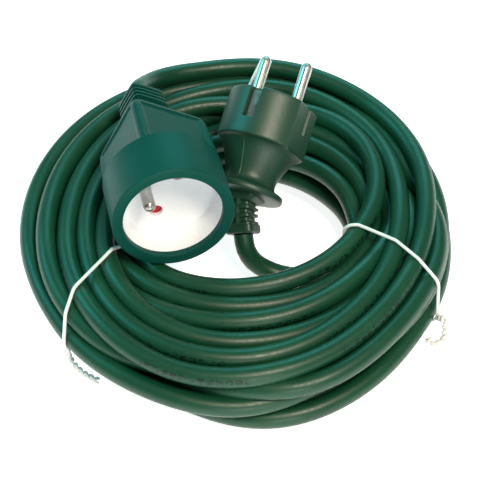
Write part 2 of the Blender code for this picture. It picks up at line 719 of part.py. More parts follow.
# ---------------------------------------------------------------- whole object
def world_bounds(names):
    """The lowest and highest corner of the evaluated parts."""
    graph = bpy.context.evaluated_depsgraph_get()
    low = Vector((math.inf,) * 3)
    high = Vector((-math.inf,) * 3)
    for name in names:
        shape = bpy.data.objects[name].evaluated_get(graph)
        data = shape.to_mesh()
        for vert in data.vertices:
            point = shape.matrix_world @ vert.co
            low = Vector(map(min, low, point))
            high = Vector(map(max, high, point))
        shape.to_mesh_clear()
    return low, high


def main():
    clear_scene()
    root = empty("whole", Matrix.Identity(4))
    socket_pose = pose(SOCKET_ORIGIN, SOCKET_AXIS, SOCKET_ROLL)
    plug_axis = Vector((math.sin(PLUG_HEADING) * math.cos(PLUG_TILT),
                        math.cos(PLUG_HEADING) * math.cos(PLUG_TILT), math.sin(PLUG_TILT)))
    plug_pose = pose(PLUG_ORIGIN, plug_axis, PLUG_ROLL)
    build_coil(root)
    build_ties(root)
    build_cord_ends(root, socket_pose, plug_pose)
    build_socket(empty("socket_frame", socket_pose, root))
    build_plug(empty("plug_frame", plug_pose, root))
    parts = [obj.name for obj in collection(PARTS).objects if obj.type != "EMPTY"]
    low, high = world_bounds(parts)
    root.location = (-(low.x + high.x) / 2, -(low.y + high.y) / 2, -low.z)
    bpy.context.view_layer.update()


main()
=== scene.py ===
"""The looks of the garden extension cord: its wound cable, its moulded plug and socket, the wire
ties, the materials, the studio and the camera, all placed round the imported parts.

The winding, the ties and the two moulded bodies are worked out in millimetres, as is every name
that ends in MM; all else is in metres. The plug and the socket are drawn in their own frames: +Z
leaves the mating face, +X runs along the line of the two live contacts, +Y points to the earth side.
"""

import json
import math

import bmesh
import bpy
import numpy as np
from mathutils import Matrix, Vector


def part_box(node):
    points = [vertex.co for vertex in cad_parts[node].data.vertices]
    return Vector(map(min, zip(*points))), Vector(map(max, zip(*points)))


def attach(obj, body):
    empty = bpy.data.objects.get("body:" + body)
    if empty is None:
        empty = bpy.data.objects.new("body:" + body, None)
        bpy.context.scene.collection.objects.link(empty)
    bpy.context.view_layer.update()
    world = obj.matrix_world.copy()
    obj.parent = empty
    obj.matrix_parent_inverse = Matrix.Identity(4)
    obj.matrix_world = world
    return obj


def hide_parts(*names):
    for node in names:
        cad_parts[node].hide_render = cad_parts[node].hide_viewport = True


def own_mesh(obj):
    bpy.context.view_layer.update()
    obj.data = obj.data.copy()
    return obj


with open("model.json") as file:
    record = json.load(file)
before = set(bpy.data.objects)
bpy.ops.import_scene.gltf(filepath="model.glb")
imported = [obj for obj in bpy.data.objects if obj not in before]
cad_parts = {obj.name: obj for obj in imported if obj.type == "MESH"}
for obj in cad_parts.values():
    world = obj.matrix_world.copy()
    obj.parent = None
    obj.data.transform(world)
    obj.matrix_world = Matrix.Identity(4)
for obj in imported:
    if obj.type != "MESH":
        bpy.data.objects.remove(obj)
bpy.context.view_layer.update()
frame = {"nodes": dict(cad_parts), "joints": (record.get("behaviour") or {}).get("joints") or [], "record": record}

MM = 0.001

# -------- driving dimensions
CABLE_MM = 8.0                       # over the sheath
RECESS_DEPTH = 0.015                 # from the socket's mating face to its recess floor
EARTH_OFFSET = 0.010                 # from the line of the live contacts to the earth pin
COIL_CENTRE_MM = np.array([-0.607, -4.18])
# the free cable's route at the socket and at the plug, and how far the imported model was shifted
ROUTE_SHIFT_MM = np.array([-0.607, -1.18, 0.0])
SOCKET_CABLE_MM = [(-38.9, 60.8, 41.3), (-33.9, 69.4, 37.0), (-25.4, 75.9, 34.2), (-14.4, 79.7, 32.8)]
PLUG_CABLE_MM = [(5.2, -12.9, 14.8), (7.9, -13.8, 11.2), (11.6, -14.3, 8.2), (16.1, -15.0, 6.2),
                 (21.1, -16.2, 5.1), (30.5, -16.3, 4.7), (37.6, -14.1, 4.7)]
RELIEF_TIP_MM = np.array([2.6, -8.8, 21.6])      # the bent strain relief's end, and its direction
RELIEF_TIP_AIM = np.array([0.05, -0.80, -0.60])
SOCKET_NECK_END_MM = -76.5


# -------- frames of the two connectors
def mount(name):
    """A mount's point and its outward direction."""
    found = next(m for m in frame["record"]["mounts"] if m["name"] == name)
    return Vector(found["pos_m"]), Vector(found["axis"]).normalized()


def middle(node):
    """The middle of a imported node's box."""
    low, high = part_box(node)
    return (low + high) / 2


def axes(origin, x, z):
    """A frame with the given +Z, and +X as near to the given one as it can be."""
    y = z.cross(x).normalized()
    x = y.cross(z).normalized()
    return Matrix.Translation(origin) @ Matrix((x, y, z)).transposed().to_4x4()


def socket_frame():
    """The recess floor lies behind the mating face, and the shutter slides along -Y."""
    floor, z = mount("socket_floor")
    y = -Vector(frame["joints"][0]["axis"]).normalized()
    x = y.cross(z)
    offset = floor - middle("socket_earth_pin")
    centre = floor - x * offset.dot(x) - y * (offset.dot(y) + EARTH_OFFSET)
    return axes(centre + z * RECESS_DEPTH, x, z)


def plug_frame():
    """The pins stand 19 mm apart on the face, the left one on +X."""
    face, z = mount("plug_face")
    left = middle("plug_pin_left")
    right = middle("plug_pin_right")
    centre = (left + right) / 2
    return axes(centre + z * (face - centre).dot(z), left - right, z)


SOCKET = socket_frame()
PLUG = plug_frame()


# -------- steps and lines
def ease(value, low, high):
    """0 below low, 1 above high, and smooth between them."""
    t = np.clip((np.asarray(value, float) - low) / (high - low), 0.0, 1.0)
    return t * t * (3 - 2 * t)


def catmull_rom(points, spacing):
    """Points about one spacing apart on a smooth curve through the given ones."""
    route = [np.array(p, float) for p in points]
    padded = [2 * route[0] - route[1]] + route + [2 * route[-1] - route[-2]]
    made = []
    for a, b, c, d in zip(padded, padded[1:], padded[2:], padded[3:]):
        steps = max(1, round(float(np.linalg.norm(c - b)) / spacing))
        for step in range(steps):
            t = step / steps
            made.append(0.5 * (2 * b + (c - a) * t + (2 * a - 5 * b + 4 * c - d) * t * t
                               + (3 * b - a - 3 * c + d) * t ** 3))
    made.append(route[-1])
    return np.array(made)


def distance_along(line):
    """How far along a line of points each one lies."""
    return np.concatenate([[0.0], np.cumsum(np.linalg.norm(np.diff(line, axis=0), axis=1))])


def read_along(line, along, wanted):
    """The line's points at the wanted distances along it."""
    return np.column_stack([np.interp(wanted, along, line[:, k]) for k in range(3)])


# -------- how the cable is wound
# One row is one turn, clockwise seen from above: how firmly it keeps its place, then its distance
# from the coil's middle and its height at each of these bearings, in degrees and millimetres.
STATIONS = (90, 45, 0, -45, -90, -135, -180, -225)
TOP_TURNS = [
    (1.0, [(85.5, 31.5), (86.5, 29), (77, 28), (75, 28), (83, 28), (75, 28), (67, 28), (70, 28)]),
    (1.0, [(74, 29), (75, 29), (66, 29), (68, 29), (75, 29), (68, 29), (59, 29), (61, 28)]),
    (1.0, [(63, 27), (68, 30), (55, 30), (43, 29), (39, 28), (42, 27), (45, 20), (46, 20)]),
    (0.5, [(51, 22), (57, 24), (57, 23), (49, 24), (46, 26), (50, 26), (52, 20), (54, 20)]),
    (0.5, [(57, 22), (66, 22), (64, 22), (59, 28), (56, 28), (59, 28), (58, 20), (61, 20)]),
    (0.5, [(60, 21), (73, 20), (70, 20), (63, 24), (65, 28), (66, 28), (50, 28), (53, 27)]),
    (0.5, [(66, 20), (80, 20), (76, 19), (76, 20), (77, 20), (78, 25), (76, 27), (79, 27)]),
    (1.0, [(83, 28), (87, 21), (82, 18), (78, 18), (85, 17), (83, 17), (84, 21), (87, 24)]),
    (1.0, [(91, 20), (91, 12), (85.5, 8), (84, 7), (86, 6), (74, 6), (80, 6), (83, 7)]),
]
# the turns out of sight fill a grid of columns (distance from the middle) and rows (height)
COLUMNS = (45.4, 53.6, 61.8, 70.0, 78.2)
ROWS = (4.2, 12.0, 19.8)
HIDDEN_SLOTS = [(4, 2), (4, 1), (4, 0), (3, 0), (2, 0), (2, 1), (3, 1), (3, 2), (2, 2), (1, 2),
                (0, 2), (0, 1), (1, 1)]
# the last stretch runs in along the ground to the plug's cable: bearing, distance, height
LAST_TURN = [(90, 54, 4.2), (60, 57, 4.2), (38, 60, 4.2), (16, 57.5, 4.2), (-3.7, 48.4, 4.5)]
HIDDEN_WANDER_MM = 1.0
HIDDEN_FIRMNESS = 0.15
SEEN_FIRMNESS = 0.4                  # turns at least this firm are in sight
LAST_FIRMNESS = 0.8
FIXED_FIRMNESS = 50.0                # the free ends don't move at all
STATION_STEP_MM = 4.0
WIND_STEP_MM = 6.5
# the coil's outline: how far out the middle of a turn may lie at each bearing, by the ground and
# at the top, and how far in at the least
OUTER_BEARINGS = (-180, -165, -147, -125, -113, -101, -90, -77, -64, -50, -33, 0, 30, 60, 140, 180)
OUTER_LOW_MM = (83, 79, 76, 76, 76, 78, 84.5, 89, 88, 85, 82.5, 85.5, 90, 91.5, 91.5, 83)
OUTER_HIGH_MM = (85.5, 83, 82.5, 84, 85.5, 87, 88, 89, 89, 86, 84, 86.5, 91, 91.5, 91.5, 85.5)
INNER_BEARINGS = (-180, -75, -45, -22, 0, 22, 45, 180)
INNER_MM = (41, 41, 45, 50, 51, 49, 45, 41)
# what the cable's middle keeps from each stretch of the two bodies: from, to, and how far
SOCKET_CLEARANCE_MM = ((-2.0, -22.0, 28.6), (-22.0, -50.0, 25.5), (-50.0, -66.0, 20.0))
PLUG_CLEARANCE_MM = ((0.0, -20.0, 23.2), (-20.0, -37.0, 18.0), (-37.0, -43.0, 20.0))
# the settling: how many rounds, how far apart seen and hidden turns are pushed (hidden ones may
# sink in by half a millimetre, and crowded ones stay closer still), how strongly a point returns
# to its own place, and how strongly kinks are faired out
SETTLE_ROUNDS = 160
CALM_SHARE = 0.8                     # after this share of the rounds nothing is pulled home
SEEN_GAP_MM = CABLE_MM + 0.1
HIDDEN_GAP_MM = CABLE_MM - 0.5
SAME_STRETCH = 4                     # points this near along the cable don't push each other
HOME_PULL = 0.06
FAIRING = 0.45
OUTLINE_PULL = 0.5
BODY_PUSH = 0.5


def winding_stations():
    """Every station of every turn: (unwrapped bearing, radius, height, firmness)."""
    rows = list(TOP_TURNS)
    for column, row in HIDDEN_SLOTS:
        places = []
        for bearing in STATIONS:
            wander = HIDDEN_WANDER_MM * math.sin(math.radians(2 * bearing) + 1.7 * len(rows))
            places.append((COLUMNS[column] + wander, ROWS[row] + 0.4 * abs(wander)))
        rows.append((HIDDEN_FIRMNESS, places))
    stations = []
    for turn, (firmness, places) in enumerate(rows):
        for bearing, (radius, height) in zip(STATIONS, places):
            stations.append((bearing - 360 * turn, radius, height, firmness))
    for bearing, radius, height in LAST_TURN:
        stations.append((bearing - 360 * len(rows), radius, height, LAST_FIRMNESS))
    return stations, len(rows)


def polar(point):
    """A point's bearing and its distance from the coil's middle."""
    away = point[:2] - COIL_CENTRE_MM
    return math.degrees(math.atan2(away[1], away[0])), float(np.linalg.norm(away))


def wound_route():
    """The cable's centreline from the socket to the plug before it settles, with its firmness."""
    start = np.array(SOCKET @ Vector((0, 0, SOCKET_NECK_END_MM * MM))) / MM
    lead = np.array(SOCKET @ Vector((0, 0, (SOCKET_NECK_END_MM - 6) * MM))) / MM
    run = RELIEF_TIP_MM + RELIEF_TIP_AIM * 4
    head = catmull_rom([start, lead] + [np.array(p) + ROUTE_SHIFT_MM for p in SOCKET_CABLE_MM],
                       WIND_STEP_MM)
    tail = catmull_rom([np.array(p) + ROUTE_SHIFT_MM for p in PLUG_CABLE_MM[::-1]]
                       + [run, RELIEF_TIP_MM], WIND_STEP_MM)
    stations, turns = winding_stations()
    first, first_radius = polar(head[-1])
    last, last_radius = polar(tail[0])
    table = np.array([(-first, first_radius, head[-1][2], 1.0)]
                     + [(-b, r, z, w) for b, r, z, w in stations]
                     + [(360 * turns - last, last_radius, tail[0][2], 1.0)])
    knots = catmull_rom(table, STATION_STEP_MM)
    radius = knots[:, 1]
    angle = np.radians(-knots[:, 0])
    coil = np.column_stack([COIL_CENTRE_MM[0] + radius * np.cos(angle),
                            COIL_CENTRE_MM[1] + radius * np.sin(angle), knots[:, 2]])
    firmness = np.concatenate([np.full(len(head), FIXED_FIRMNESS), knots[1:-1, 3],
                               np.full(len(tail), FIXED_FIRMNESS)])
    return respaced(np.vstack([head, coil[1:-1], tail]), firmness, WIND_STEP_MM)


def respaced(route, firmness, spacing):
    """The same line with its points evenly spaced."""
    along = distance_along(route)
    wanted = np.linspace(0.0, along[-1], int(round(along[-1] / spacing)) + 1)
    return read_along(route, along, wanted), np.interp(wanted, along, firmness)


def push_from_segment(points, a, b, clearance, share):
    """Push points away from a round body between a and b."""
    run = b - a
    t = np.clip((points - a) @ run / (run @ run), 0.0, 1.0)
    away = points - (a + t[:, None] * run)
    far = np.linalg.norm(away, axis=1)
    short = np.clip(clearance - far, 0.0, None) * share
    points += away / np.maximum(far, 0.001)[:, None] * short[:, None]


def keep_in_outline(points, free, firmness):
    """Draw the turns towards the coil's outline, and the hidden ones out of its hole."""
    spoke = points[:, :2] - COIL_CENTRE_MM
    radius = np.maximum(np.linalg.norm(spoke, axis=1), 1.0)
    bearing = np.degrees(np.arctan2(spoke[:, 1], spoke[:, 0]))
    high = ease(points[:, 2], 6.0, 16.0)
    outer = (np.interp(bearing, OUTER_BEARINGS, OUTER_LOW_MM) * (1 - high)
             + np.interp(bearing, OUTER_BEARINGS, OUTER_HIGH_MM) * high)
    inner = np.interp(bearing, INNER_BEARINGS, INNER_MM) * (firmness < 2 * HIDDEN_FIRMNESS)
    move = np.clip(inner - radius, 0.0, None) - np.clip(radius - outer, 0.0, None)
    points[:, :2] += spoke * (move / radius * OUTLINE_PULL * free)[:, None]


def body_stretches():
    """The stretches of both connectors that the cable keeps clear of: (end, end, how far)."""
    found = []
    for place, stretches in ((SOCKET, SOCKET_CLEARANCE_MM), (PLUG, PLUG_CLEARANCE_MM)):
        for a, b, clearance in stretches:
            ends = [np.array((place @ Vector((0, 0, z * MM))) / MM) for z in (a, b)]
            found.append((*ends, clearance))
    return found


def push_apart(points, wanted, neighbour, weight):
    """How far each point moves away from those of other turns that lie too near."""
    gap = points[:, None, :] - points[None, :, :]
    far = np.sqrt((gap ** 2).sum(2))
    i, j = np.nonzero((far < wanted) & neighbour)
    distance = np.maximum(far[i, j], 0.2)
    share = weight[j] / (weight[i] + weight[j])
    move = gap[i, j] / distance[:, None] * ((wanted[i, j] - distance) * share * 0.5)[:, None]
    push = np.zeros_like(points)
    np.add.at(push, i, move)
    return push


def fair(points, free):
    """Smooth the kinks out of the line without shortening its bends."""
    bend = points[1:-1] - (points[:-2] + points[2:]) / 2
    kink = np.zeros_like(points)
    kink[2:-2] = bend[1:-1] - (bend[:-2] + bend[2:]) / 2
    points -= kink * FAIRING * free[:, None]


def settle(points, firmness):
    """Push the turns apart towards their gaps; where they are crowded they still overlap."""
    home = points.copy()
    free = np.where(firmness > FIXED_FIRMNESS / 5, 0.0, 1.0)
    index = np.arange(len(points))
    neighbour = np.abs(index[:, None] - index[None, :]) > SAME_STRETCH
    weight = np.clip(firmness, 0.05, 1.0)
    seen = firmness >= SEEN_FIRMNESS
    wanted = np.where(seen[:, None] | seen[None, :], SEEN_GAP_MM, HIDDEN_GAP_MM)
    stretches = body_stretches()
    for round_index in range(SETTLE_ROUNDS):
        calm = round_index > SETTLE_ROUNDS * CALM_SHARE
        points += push_apart(points, wanted, neighbour, weight) * free[:, None]
        if not calm:
            pull = np.clip(firmness, 0.0, 1.0) * HOME_PULL
            points += (home - points) * (pull * free)[:, None]
        for _ in range(3 if calm else 2):
            fair(points, free)
        for a, b, clearance in stretches:
            push_from_segment(points, a, b, clearance, BODY_PUSH * free)
        if round_index % 10 == 0:
            lowest = CABLE_MM / 2 + 0.05 + lift_under_ties(points) * free
        points[:, 2] = np.maximum(points[:, 2], lowest)
        keep_in_outline(points, free, firmness)
    return points


# -------- mesh helpers
def link(name, data):
    """A new object in the scene with this mesh, light or camera."""
    made = bpy.data.objects.new(name, data)
    bpy.context.scene.collection.objects.link(made)
    return made


def skin(name, rings, capped):
    """A skin over rings of points, with an end cap at both ends or else joined end to end."""
    rings = np.asarray(rings, float)
    rows, count = rings.shape[:2]
    faces = []
    for row in range(rows - 1 if capped else rows):
        after = (row + 1) % rows
        for k in range(count):
            step = (k + 1) % count
            faces.append((row * count + k, row * count + step, after * count + step,
                          after * count + k))
    if capped:
        faces.append(list(range(count))[::-1])
        faces.append(list(range((rows - 1) * count, rows * count)))
    mesh = bpy.data.meshes.new(name)
    mesh.from_pydata(rings.reshape(-1, 3).tolist(), [], faces)
    mesh.update()
    return mesh


def face_out(mesh):
    """Turn every face outward."""
    bm = bmesh.new()
    bm.from_mesh(mesh)
    bmesh.ops.recalc_face_normals(bm, faces=bm.faces[:])
    bm.to_mesh(mesh)
    bm.free()


def smooth(mesh, angle):
    """Shade smooth, with edges sharper than the angle, in degrees, left crisp."""
    mesh.shade_smooth()
    mesh.set_sharp_from_angle(angle=math.radians(angle))


def float_attribute(mesh, name, values):
    """Store one number for each point, for a material to read."""
    made = mesh.attributes.new(name, "FLOAT", "POINT")
    made.data.foreach_set("value", np.asarray(values, np.float32))


def carried_frames(line):
    """Tangents and a pair of cross directions carried along a line without twist."""
    tangent = np.gradient(line, axis=0)
    tangent /= np.linalg.norm(tangent, axis=1)[:, None]
    side = np.zeros_like(line)
    first = np.cross(tangent[0], (0.0, 0.0, 1.0))
    side[0] = first / np.linalg.norm(first)
    for k in range(1, len(line)):
        carried = side[k - 1] - tangent[k] * (side[k - 1] @ tangent[k])
        side[k] = carried / np.linalg.norm(carried)
    return tangent, side, np.cross(tangent, side)


def tube_mesh(name, line, radius, sides):
    """A closed tube round a line of points, in metres, with its length and turn as attributes."""
    line = np.asarray(line, float)
    _, side, other = carried_frames(line)
    angle = np.linspace(0.0, 2 * math.pi, sides, endpoint=False)
    ring = (np.cos(angle)[None, :, None] * side[:, None, :]
            + np.sin(angle)[None, :, None] * other[:, None, :])
    mesh = skin(name, line[:, None, :] + ring * radius, capped=True)
    float_attribute(mesh, "along", np.repeat(distance_along(line), sides))
    float_attribute(mesh, "turn", np.tile(angle / (2 * math.pi), len(line)))
    face_out(mesh)
    smooth(mesh, 50)
    return mesh


# -------- materials
class Nodes:
    """A material's node tree with short calls for what every finish here uses."""

    def __init__(self, name):
        self.material = bpy.data.materials.new(name)
        self.material.use_nodes = True
        self.tree = self.material.node_tree
        self.shader = self.tree.nodes["Principled BSDF"]

    def add(self, kind, **values):
        node = self.tree.nodes.new(kind)
        for key, value in values.items():
            setattr(node, key, value)
        return node

    def wire(self, source, target):
        self.tree.links.new(source, target)

    def attribute(self, name):
        return self.add("ShaderNodeAttribute", attribute_name=name).outputs["Fac"]

    def noise(self, scale, detail, roughness=0.5):
        node = self.add("ShaderNodeTexNoise")
        node.inputs["Scale"].default_value = scale
        node.inputs["Detail"].default_value = detail
        node.inputs["Roughness"].default_value = roughness
        self.wire(self.add("ShaderNodeTexCoord").outputs["Object"], node.inputs["Vector"])
        return node.outputs["Fac"]

    def math(self, operation, *values):
        node = self.add("ShaderNodeMath", operation=operation)
        for slot, value in zip(node.inputs, values):
            if isinstance(value, (int, float)):
                slot.default_value = value
            else:
                self.wire(value, slot)
        return node.outputs[0]

    def span(self, value, low, high, new_low=0.0, new_high=1.0):
        """The value carried smoothly from one range to another, and held at its ends."""
        node = self.add("ShaderNodeMapRange", interpolation_type="SMOOTHSTEP")
        self.wire(value, node.inputs["Value"])
        for key, number in (("From Min", low), ("From Max", high), ("To Min", new_low),
                            ("To Max", new_high)):
            node.inputs[key].default_value = number
        return node.outputs["Result"]

    def mix(self, factor, first, second):
        """Two colours, each a tuple or an output; a colour mix has its own sockets, 6, 7 and 2."""
        node = self.add("ShaderNodeMix", data_type="RGBA")
        self.wire(factor, node.inputs["Factor"])
        for slot, value in ((6, first), (7, second)):
            if isinstance(value, tuple):
                node.inputs[slot].default_value = (*value, 1.0)
            else:
                self.wire(value, node.inputs[slot])
        return node.outputs[2]

    def bump(self, height, distance):
        node = self.add("ShaderNodeBump")
        node.inputs["Distance"].default_value = distance
        self.wire(height, node.inputs["Height"])
        self.wire(node.outputs["Normal"], self.shader.inputs["Normal"])

    def set(self, **values):
        for key, value in values.items():
            socket = self.shader.inputs[key.replace("_", " ")]
            if isinstance(value, bpy.types.NodeSocket):
                self.wire(value, socket)
            elif isinstance(value, tuple):
                socket.default_value = (*value, 1.0)
            else:
                socket.default_value = value


MARK_CELLS_PER_M = 1200.0            # the marks' columns along the cable
MARKS_PER_M = 300.0                  # four columns make one mark, with a space after it
MARK_GROUPS_PER_M = 13.0
MARK_GROUP_SPAN = (0.10, 0.62)       # the share of a group's length that holds marks
MARK_TURN = 0.60                     # where round the cable the marks begin
MARK_ROWS_PER_TURN = 42.0
MARK_ROWS = 4


def generic_marks(n):
    """1 on small marks in groups along the cable, which spell nothing, and 0 elsewhere."""
    along = n.attribute("along")
    turn = n.attribute("turn")
    column = n.math("FLOOR", n.math("MULTIPLY", along, MARK_CELLS_PER_M))
    band = n.math("MULTIPLY", n.math("SUBTRACT", turn, MARK_TURN), MARK_ROWS_PER_TURN)
    row = n.math("FLOOR", band)
    cell = n.add("ShaderNodeCombineXYZ")
    n.wire(column, cell.inputs[0])
    n.wire(row, cell.inputs[1])
    chance = n.add("ShaderNodeTexWhiteNoise", noise_dimensions="3D")
    n.wire(cell.outputs[0], chance.inputs["Vector"])
    filled = n.math("GREATER_THAN", chance.outputs["Value"], 0.45)
    space = n.math("GREATER_THAN", n.math("FRACT", n.math("MULTIPLY", along, MARKS_PER_M)), 0.27)
    group = n.math("FRACT", n.math("MULTIPLY", along, MARK_GROUPS_PER_M))
    inside = n.math("MULTIPLY", n.math("GREATER_THAN", group, MARK_GROUP_SPAN[0]),
                    n.math("LESS_THAN", group, MARK_GROUP_SPAN[1]))
    in_rows = n.math("MULTIPLY", n.math("GREATER_THAN", row, -0.5),
                     n.math("LESS_THAN", row, MARK_ROWS - 0.5))
    marks = n.math("MULTIPLY", filled, space)
    return n.math("MULTIPLY", n.math("MULTIPLY", marks, inside), in_rows)


def cable_finish():
    """Extruded PVC: cloudy green, pale scuffs, a fine grain and a row of shallow marks."""
    n = Nodes("cable_pvc")
    cloud = n.noise(42.0, 4.0)
    scuff = n.noise(900.0, 3.0, 0.6)
    grain = n.noise(3200.0, 2.0)
    marks = generic_marks(n)
    tone = n.mix(n.span(cloud, 0.35, 0.7), (0.0036, 0.050, 0.0235), (0.0066, 0.062, 0.0285))
    tone = n.mix(n.math("MULTIPLY", n.span(scuff, 0.70, 0.80), 0.20), tone, (0.04, 0.13, 0.09))
    tone = n.mix(n.math("MULTIPLY", marks, 0.95), tone, (0.0008, 0.013, 0.007))
    n.set(Base_Color=tone, Roughness=n.span(scuff, 0.3, 0.75, 0.33, 0.47), Specular_IOR_Level=0.42)
    n.bump(n.math("ADD", n.math("MULTIPLY", marks, -0.8), n.math("MULTIPLY", grain, 0.10)), 0.00030)
    return n.material


def moulded_finish(name, dark, light, gloss):
    """Moulded PVC: a fine spark-eroded grain and slightly uneven gloss."""
    n = Nodes(name)
    cloud = n.noise(35.0, 4.0)
    grain = n.noise(2600.0, 3.0, 0.6)
    fleck = n.noise(1300.0, 2.0)
    tone = n.mix(n.span(cloud, 0.3, 0.7), dark, light)
    tone = n.mix(n.math("MULTIPLY", n.span(fleck, 0.68, 0.78), 0.15), tone, (0.05, 0.16, 0.12))
    n.set(Base_Color=tone, Roughness=n.span(grain, 0.25, 0.75, 0.34, 0.50), Specular_IOR_Level=gloss)
    n.bump(grain, 0.00006)
    return n.material


def gloss_plastic(name, colour, other, roughness):
    """A smooth moulded plastic with a slightly cloudy colour."""
    n = Nodes(name)
    cloud = n.noise(60.0, 3.0)
    grain = n.noise(1500.0, 2.0)
    n.set(Base_Color=n.mix(n.span(cloud, 0.3, 0.7), colour, other),
          Roughness=n.span(grain, 0.3, 0.7, roughness * 0.85, roughness * 1.2))
    n.bump(grain, 0.00002)
    return n.material


def metal_finish(name, colour, other, roughness):
    """Plated or drawn metal: a very fine grain and faint handling smears."""
    n = Nodes(name)
    smear = n.noise(220.0, 4.0, 0.6)
    grain = n.noise(2400.0, 2.0)
    n.set(Base_Color=n.mix(n.span(smear, 0.35, 0.7), colour, other), Metallic=1.0,
          Roughness=n.span(smear, 0.3, 0.8, roughness, roughness * 1.9))
    n.bump(grain, 0.000002)
    return n.material


# the finishes of each kind: name, two colours, and the roughness or, for moulded PVC, the gloss
FINISH_KINDS = (
    # socket and plug are one moulded PVC with different gloss; the socket's teal is partly painted cool light and
    # the plug's olive partly painted warm sheen
    (moulded_finish, (("socket_pvc", (0.0020, 0.059, 0.046), (0.0034, 0.069, 0.054), 0.11),
                      ("plug_pvc", (0.0085, 0.046, 0.025), (0.0120, 0.056, 0.031), 0.6),
                      ("bridge_plastic", (0.003, 0.045, 0.034), (0.006, 0.06, 0.045), 0.4))),
    (gloss_plastic, (("white_plastic", (0.90, 0.92, 0.95), (0.87, 0.89, 0.93), 0.30),
                     ("grey_plastic", (0.30, 0.31, 0.32), (0.26, 0.27, 0.28), 0.45),
                     ("red_plastic", (0.62, 0.03, 0.04), (0.54, 0.02, 0.03), 0.3),
                     ("tie_plastic", (0.88, 0.88, 0.86), (0.80, 0.80, 0.78), 0.30),
                     ("core_brown", (0.16, 0.06, 0.02), (0.13, 0.05, 0.02), 0.35),
                     ("core_blue", (0.02, 0.10, 0.45), (0.02, 0.08, 0.38), 0.35),
                     ("core_green_yellow", (0.45, 0.55, 0.05), (0.10, 0.35, 0.05), 0.35))),
    (metal_finish, (("nickel", (0.58, 0.54, 0.50), (0.48, 0.44, 0.41), 0.27),
                    # the strap's dull nickel is rougher, and its colour is darkened to brown as painted shade for
                    # the shaded clip channel it lies in and reflects
                    ("dull_nickel", (0.24, 0.21, 0.19), (0.18, 0.16, 0.15), 0.5),
                    ("brass", (0.78, 0.60, 0.30), (0.68, 0.50, 0.24), 0.22),
                    ("spring_steel", (0.55, 0.56, 0.58), (0.46, 0.47, 0.49), 0.24))),
)
FINISHES = {"cable_pvc": cable_finish()}
for make, rows in FINISH_KINDS:
    for finish_name, *values in rows:
        FINISHES[finish_name] = make(finish_name, *values)

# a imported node's finish, by the first of these words that its name has
NODE_FINISHES = (("core_left", "core_brown"), ("core_right", "core_blue"),
                 ("core_earth", "core_green_yellow"), ("crimp", "brass"), ("contact", "brass"),
                 ("sleeve", "brass"), ("_pin", "nickel"), ("strap", "dull_nickel"),
                 ("spring", "spring_steel"), ("insert", "white_plastic"),
                 ("carrier", "grey_plastic"), ("shutter", "red_plastic"),
                 ("bridge", "bridge_plastic"), ("cord_", "cable_pvc"), ("tie_", "tie_plastic"),
                 ("plug", "plug_pvc"), ("socket", "socket_pvc"))


def finish_cad_nodes():
    """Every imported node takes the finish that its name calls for."""
    for name, node in frame["nodes"].items():
        finish = next(finish for word, finish in NODE_FINISHES if word in name)
        if len(node.material_slots) == 0:
            node.data.materials.append(FINISHES[finish])
        for slot in node.material_slots:
            slot.material = FINISHES[finish]


def stand_in(piece, finish, slot, *nodes):
    """Give a new piece its finish, and let it ride with the cord in place of its nodes."""
    piece.data.materials.append(FINISHES[finish])
    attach(piece, "cord")
    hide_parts(*nodes)


# -------- moulded bodies
def bars(value, places, half_width, edge):
    """1 inside each bar centred on one of the places, and 0 between them."""
    found = np.zeros_like(np.asarray(value, float))
    for place in places:
        away = np.abs(value - place)
        found = np.maximum(found, 1 - ease(away, half_width - edge / 2, half_width + edge / 2))
    return found


def rounded_square(theta, half, power):
    """Distance from the middle to the outline of a square with rounded corners."""
    return half / (np.abs(np.cos(theta)) ** power + np.abs(np.sin(theta)) ** power) ** (1 / power)


def moulded_piece(name, rings, place):
    """A closed skin over rings that run out along the outside and back along the inside."""
    mesh = skin(name, np.asarray(rings) * MM, capped=False)
    mesh.transform(place)
    face_out(mesh)
    smooth(mesh, 42)
    return link(name, mesh)


def ring_at(theta, radius, z):
    """A flat ring round the Z axis; the radius is one number or one for each angle."""
    radius = np.broadcast_to(np.asarray(radius, float), theta.shape)
    return np.column_stack([radius * np.cos(theta), radius * np.sin(theta), np.full(len(theta), z)])


def rings_at(theta, outline):
    """Flat rings for a list of (radius, height)."""
    return [ring_at(theta, radius, z) for radius, z in outline]


def rounded_edge(radius, soft, turns, side=1):
    """(radius, height) over an edge at height 0; side is 1 on the outside of a wall, or -1."""
    return [(radius - side * soft * (1 - math.sin(turn)), -soft * (1 - math.cos(turn)))
            for turn in turns]


# socket: the barrel, the square block behind it (height, half width), its panels and its neck
SOCKET_R_MM = 23.9
SOCKET_ANGLES = 208
MOUTH_R_MM = 19.5
MOUTH_SOFT_MM = 0.42
RIM_LIP_MM = 2.7
RIM_SOFT_MM = 0.7
BARREL_END_MM = -23.2
BARREL_STEP_MM = 0.9
BLOCK_HALF_MM = [(-23.2, 17.9), (-46.0, 17.0), (-49.0, 16.4), (-51.0, 15.2), (-63.0, 7.9),
                 (-65.0, 7.3), (-76.5, 6.7)]
BLOCK_CORNER = 13.0                  # the higher, the sharper the corners
NECK_CORNER = 9.0
NECK_FROM_MM = -63.5
PANEL_EDGE_MM = 3.2
PANEL_DEPTH_MM = 0.8
PANEL_BACK_MM = (-48.0, -47.4)
PANEL_FRONT_MM = (-25.4, -24.6)
RIBS_FROM_MM = -65.1
RIB_SWELL_MM = 0.8
GROOVE_PLACES_MM = [-66.0 - 2.6 * k for k in range(4)]
GROOVE_DEPTH_MM = 2.0
# where the outside's rings lie: single ones, then runs that are finer where the shape turns
SOCKET_RINGS_MM = [-0.9, -1.5, -4.0, -8.0, -12.0, -15.0, -18.0, -20.5, -22.4]
SOCKET_RING_RUNS_MM = [(-23.0, -26.0, -0.15), (-27.0, -46.5, -2.2), (-46.8, -52.0, -0.2),
                       (-53.0, -63.0, -1.4), (-63.2, -76.1, -0.2)]
